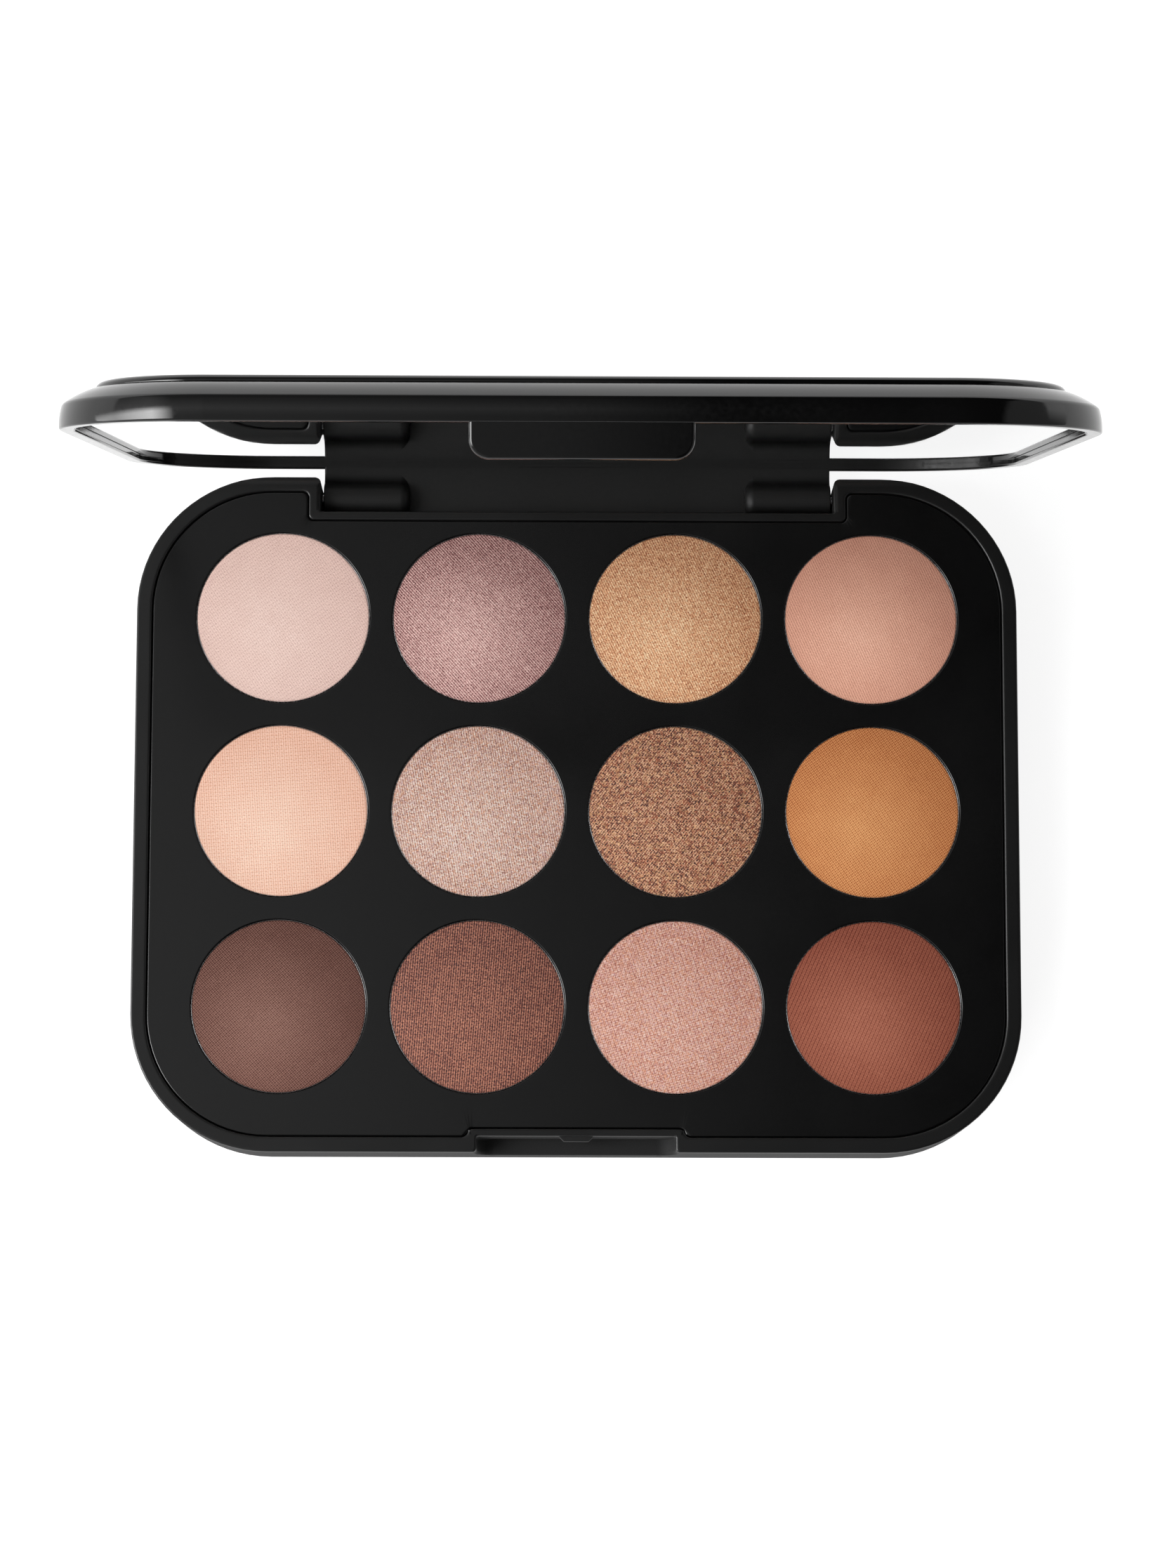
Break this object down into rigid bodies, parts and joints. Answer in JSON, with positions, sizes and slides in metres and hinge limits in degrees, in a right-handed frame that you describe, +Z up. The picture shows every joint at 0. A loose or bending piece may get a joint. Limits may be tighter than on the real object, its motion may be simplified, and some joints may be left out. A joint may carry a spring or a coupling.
{
  "type": "eyeshadow palette",
  "caption": "Shallow rounded black makeup palette with a grid of round pressed-powder pans in a tray, and a mirrored lid on a rear pin hinge with a front snap tab.",
  "frame": {"origin": "centre of the base's underside", "axes": "+X to the right along the width, +Y towards the hinge, +Z up"},
  "size_m": [0.1326, 0.1099, 0.104],
  "materials": {
    "case_plastic": "black injection moulding, semi-gloss",
    "cover_plastic": "black injection moulding, semi-gloss",
    "tray_plastic": "black injection moulding, fine satin texture",
    "mirror_glass": "silvered glass",
    "tape": "double-sided foam tape",
    "glue": "clear hot-melt glue",
    "pin_steel": "drawn wire",
    "pan_metal": "drawn sheet, bright",
    "shade_1_1": "pressed powder, matte, pale cream",
    "shade_1_2": "pressed powder, shimmer, plum",
    "shade_1_3": "pressed powder, shimmer, gold",
    "shade_1_4": "pressed powder, matte, dusty rose",
    "shade_2_1": "pressed powder, satin, peach",
    "shade_2_2": "pressed powder, shimmer, taupe",
    "shade_2_3": "pressed powder, shimmer, bronze",
    "shade_2_4": "pressed powder, matte, ochre",
    "shade_3_1": "pressed powder, matte, umber",
    "shade_3_2": "pressed powder, shimmer, russet",
    "shade_3_3": "pressed powder, shimmer, rose",
    "shade_3_4": "pressed powder, matte, brick"
  },
  "bodies": {
    "base": {"base_shell": "case_plastic", "pan_tray": "tray_plastic", "pan_glue": "glue", "hinge_pin_left": "pin_steel", "hinge_pin_right": "pin_steel", "pan_1_1": "pan_metal", "pan_1_2": "pan_metal", "pan_1_3": "pan_metal", "pan_1_4": "pan_metal", "pan_2_1": "pan_metal", "pan_2_2": "pan_metal", "pan_2_3": "pan_metal", "pan_2_4": "pan_metal", "pan_3_1": "pan_metal", "pan_3_2": "pan_metal", "pan_3_3": "pan_metal", "pan_3_4": "pan_metal", "shade_1_1": "shade_1_1", "shade_1_2": "shade_1_2", "shade_1_3": "shade_1_3", "shade_1_4": "shade_1_4", "shade_2_1": "shade_2_1", "shade_2_2": "shade_2_2", "shade_2_3": "shade_2_3", "shade_2_4": "shade_2_4", "shade_3_1": "shade_3_1", "shade_3_2": "shade_3_2", "shade_3_3": "shade_3_3", "shade_3_4": "shade_3_4"},
    "lid": {"lid_frame": "case_plastic", "lid_cover": "cover_plastic", "mirror": "mirror_glass", "mirror_tape": "tape"}
  },
  "joints": [
    {"name": "lid_hinge", "type": "hinge", "parent": "base", "child": "lid", "pos_m": [0, 0.04885, 0.0054], "axis": [-1, 0, 0], "range_deg": [-76, 34]}
  ]
}
